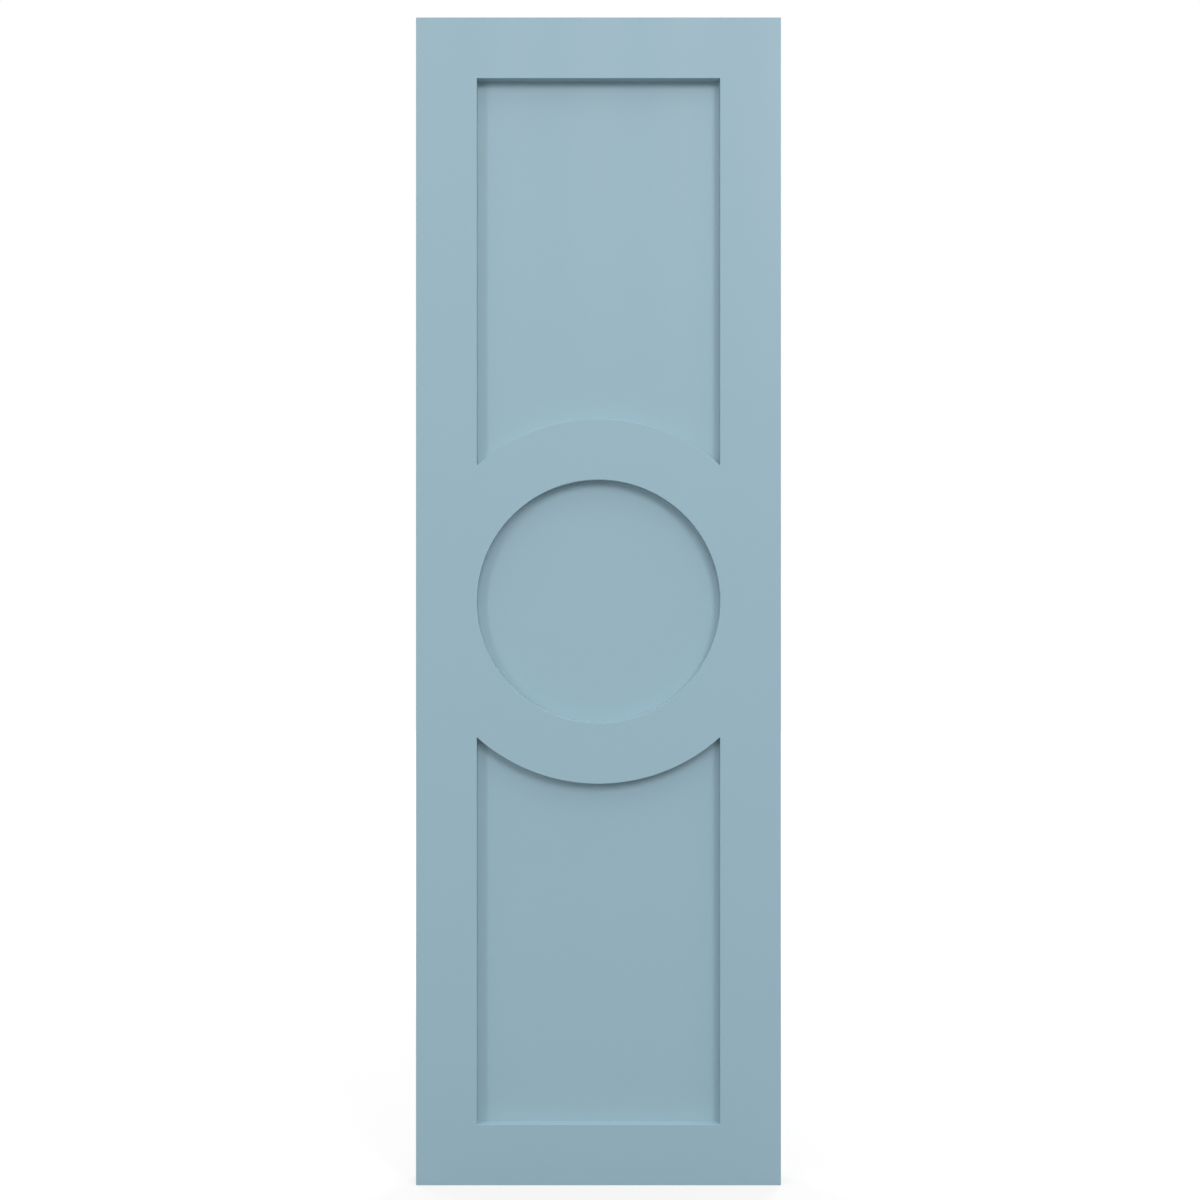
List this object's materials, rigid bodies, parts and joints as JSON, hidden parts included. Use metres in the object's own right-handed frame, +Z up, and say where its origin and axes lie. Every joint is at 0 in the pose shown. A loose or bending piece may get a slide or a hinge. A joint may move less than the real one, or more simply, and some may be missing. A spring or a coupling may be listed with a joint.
{
  "type": "arts and crafts exterior shutter",
  "caption": "Painted frame-and-panel exterior shutter: square-edged stiles and rails round flat recessed panels, with a full-width ring at mid height.",
  "frame": {"origin": "middle of the bottom rail's back face, on the wall plane", "axes": "+Z up along the stiles, +X to the right seen from the front, +Y out of the back face into the wall; the front faces -Y"},
  "size_m": [0.381, 0.0318, 1.2193],
  "materials": {
    "frame_paint": "expanded PVC board under a satin pale grey-blue factory paint",
    "panel_paint": "flat PVC sheet under the same satin pale grey-blue paint"
  },
  "bodies": {
    "root": {"left_stile": "frame_paint", "right_stile": "frame_paint", "top_rail": "frame_paint", "bottom_rail": "frame_paint", "upper_arch_rail": "frame_paint", "lower_arch_rail": "frame_paint", "upper_panel": "panel_paint", "lower_panel": "panel_paint", "round_panel": "panel_paint"}
  },
  "joints": []
}
